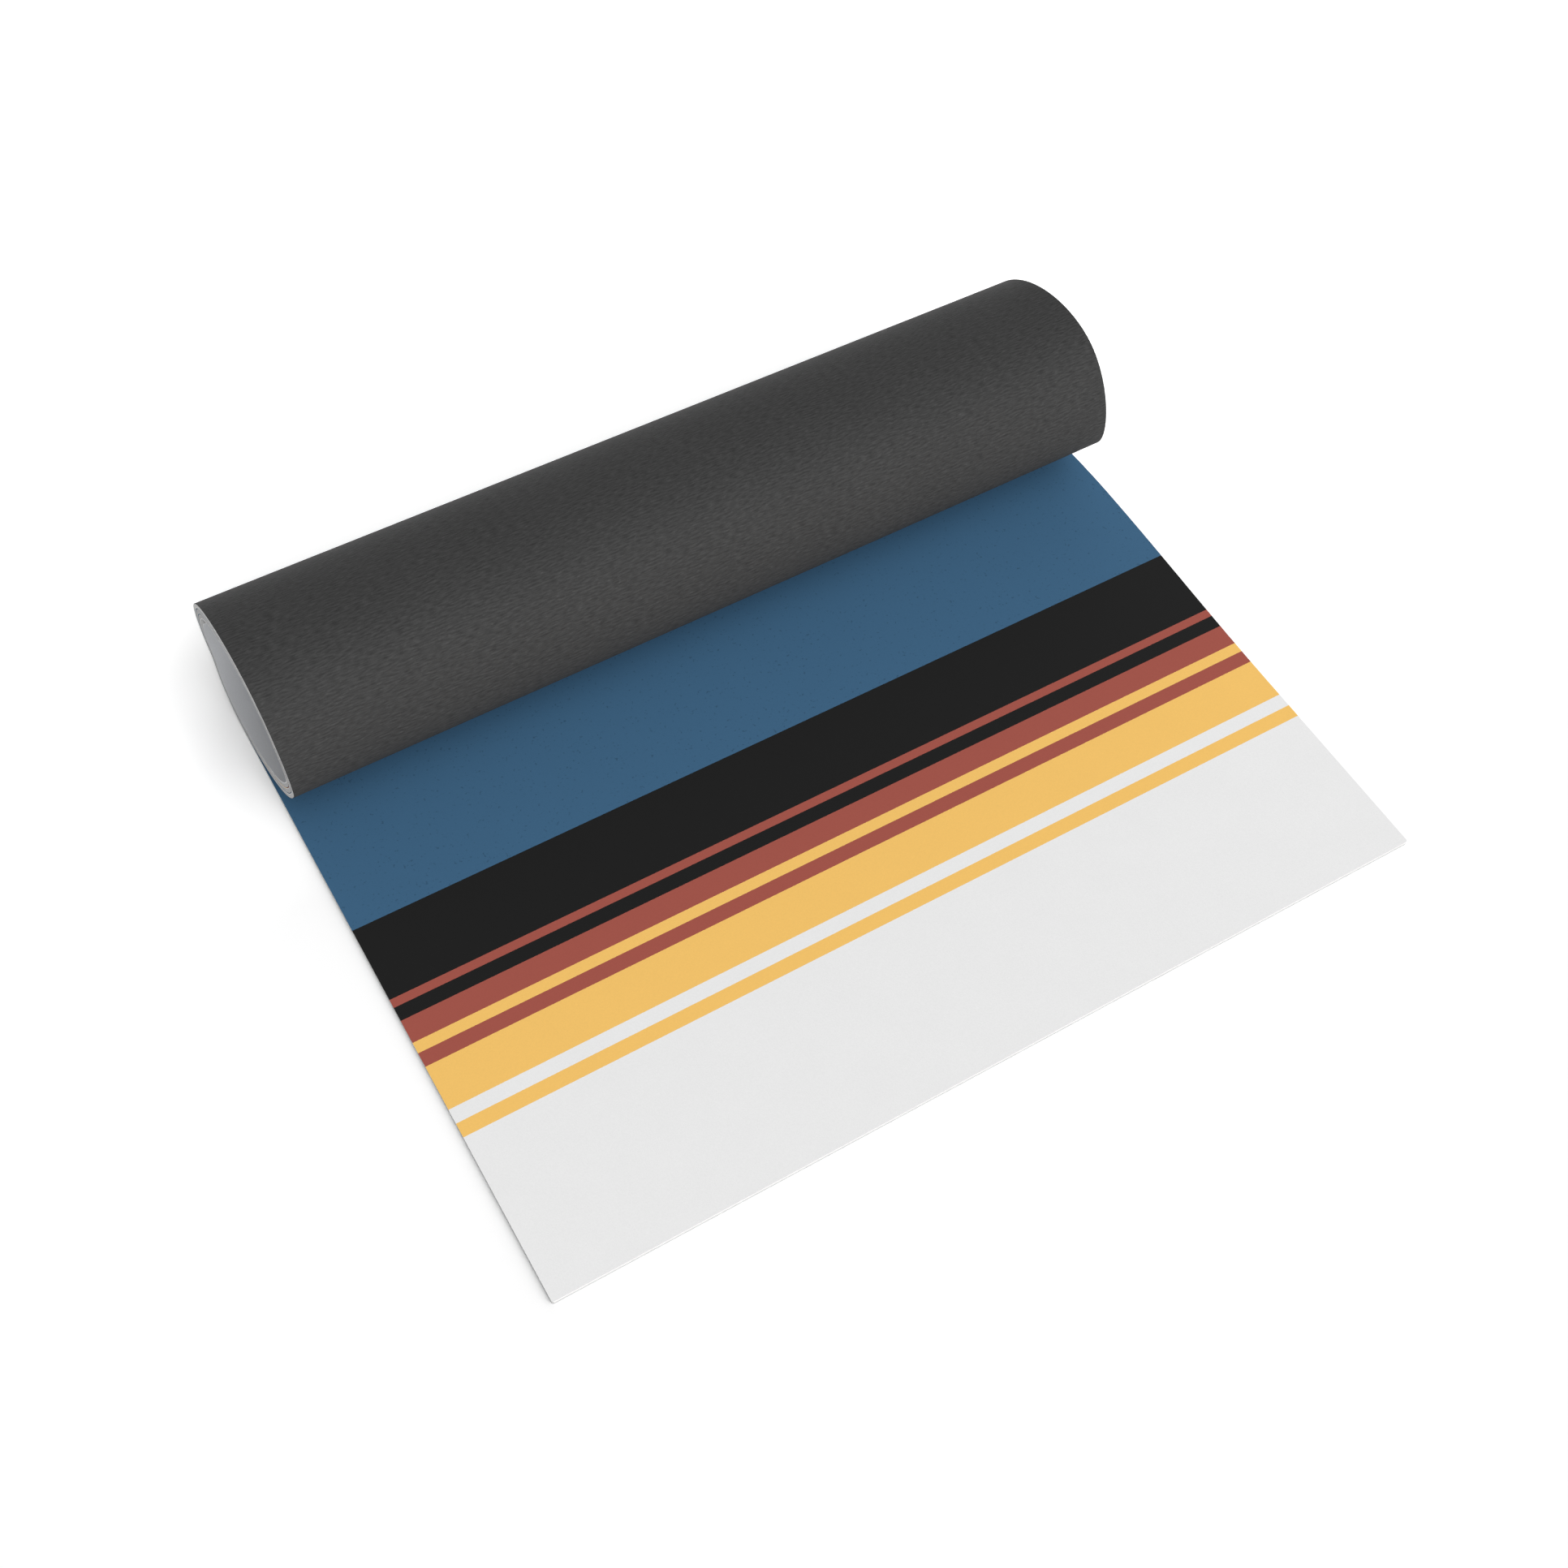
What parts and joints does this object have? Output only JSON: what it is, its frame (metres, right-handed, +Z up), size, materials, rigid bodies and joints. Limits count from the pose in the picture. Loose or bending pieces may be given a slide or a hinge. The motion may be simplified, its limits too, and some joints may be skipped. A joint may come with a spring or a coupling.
{
  "type": "yoga mat",
  "caption": "Thin three-layer yoga mat with a striped print, laid flat at the near end and wound into an open, sagging roll at the far end; the flat part rolls up round the roll.",
  "frame": {"origin": "on the floor under the middle of the whole part, on the mat's centre line", "axes": "+X across the mat's width, +Y from the near edge to the roll, +Z up"},
  "size_m": [0.61, 0.5016, 0.1181],
  "materials": {
    "print_white": "fine matt suede, printed white",
    "print_yellow": "fine matt suede, printed golden yellow",
    "print_red": "fine matt suede, printed brick red",
    "print_black": "fine matt suede, printed black",
    "print_blue": "fine matt suede, printed slate blue",
    "foam_core": "light closed-cell foam, matt",
    "rubber_backing": "dark grey textured non-slip rubber, soft sheen"
  },
  "bodies": {
    "roll": {"roll_face": "print_blue", "roll_core": "foam_core", "roll_backing": "rubber_backing"},
    "lane_01": {"lane_01_face": "print_blue", "lane_01_core": "foam_core", "lane_01_backing": "rubber_backing"},
    "lane_02": {"lane_02_face": "print_blue", "lane_02_core": "foam_core", "lane_02_backing": "rubber_backing"},
    "lane_03": {"lane_03_face": "print_blue", "lane_03_core": "foam_core", "lane_03_backing": "rubber_backing"},
    "lane_04": {"lane_04_face": "print_black", "lane_04_core": "foam_core", "lane_04_backing": "rubber_backing"},
    "lane_05": {"lane_05_face": "print_black", "lane_05_core": "foam_core", "lane_05_backing": "rubber_backing"},
    "lane_06": {"lane_06_face": "print_red", "lane_06_core": "foam_core", "lane_06_backing": "rubber_backing"},
    "lane_07": {"lane_07_face": "print_yellow", "lane_07_core": "foam_core", "lane_07_backing": "rubber_backing"},
    "lane_08": {"lane_08_face": "print_white", "lane_08_core": "foam_core", "lane_08_backing": "rubber_backing"},
    "lane_09": {"lane_09_face": "print_white", "lane_09_core": "foam_core", "lane_09_backing": "rubber_backing"}
  },
  "joints": [
    {"name": "bend_01", "type": "hinge", "parent": "roll", "child": "lane_01", "pos_m": [0, 0.18861, 0.003], "axis": [-1, 0, 0], "range_deg": [0, 1.1]},
    {"name": "bend_02", "type": "hinge", "parent": "lane_01", "child": "lane_02", "pos_m": [0, 0.13979, 0.003], "axis": [-1, 0, 0], "range_deg": [0, 28.1]},
    {"name": "roll_up", "type": "hinge", "parent": "lane_02", "child": "lane_03", "pos_m": [0, 0.09097, 0.003], "axis": [-1, 0, 0], "range_deg": [0, 50]},
    {"name": "bend_04", "type": "hinge", "parent": "lane_03", "child": "lane_04", "pos_m": [0, 0.04214, 0.003], "axis": [-1, 0, 0], "range_deg": [0, 42.1]},
    {"name": "bend_05", "type": "hinge", "parent": "lane_04", "child": "lane_05", "pos_m": [0, -0.00668, 0.003], "axis": [-1, 0, 0], "range_deg": [0, 39.1]},
    {"name": "bend_06", "type": "hinge", "parent": "lane_05", "child": "lane_06", "pos_m": [0, -0.0555, 0.003], "axis": [-1, 0, 0], "range_deg": [0, 31.1]},
    {"name": "bend_07", "type": "hinge", "parent": "lane_06", "child": "lane_07", "pos_m": [0, -0.10432, 0.003], "axis": [-1, 0, 0], "range_deg": [0, 22.6]},
    {"name": "bend_08", "type": "hinge", "parent": "lane_07", "child": "lane_08", "pos_m": [0, -0.15315, 0.003], "axis": [-1, 0, 0], "range_deg": [0, 25.6]},
    {"name": "bend_09", "type": "hinge", "parent": "lane_08", "child": "lane_09", "pos_m": [0, -0.20197, 0.003], "axis": [-1, 0, 0], "range_deg": [0, 34.1]}
  ],
  "couplings": [
    {"joint": "bend_01", "follows": "roll_up", "ratio": 0.02},
    {"joint": "bend_02", "follows": "roll_up", "ratio": 0.56},
    {"joint": "bend_04", "follows": "roll_up", "ratio": 0.84},
    {"joint": "bend_05", "follows": "roll_up", "ratio": 0.78},
    {"joint": "bend_06", "follows": "roll_up", "ratio": 0.62},
    {"joint": "bend_07", "follows": "roll_up", "ratio": 0.45},
    {"joint": "bend_08", "follows": "roll_up", "ratio": 0.51},
    {"joint": "bend_09", "follows": "roll_up", "ratio": 0.68}
  ]
}
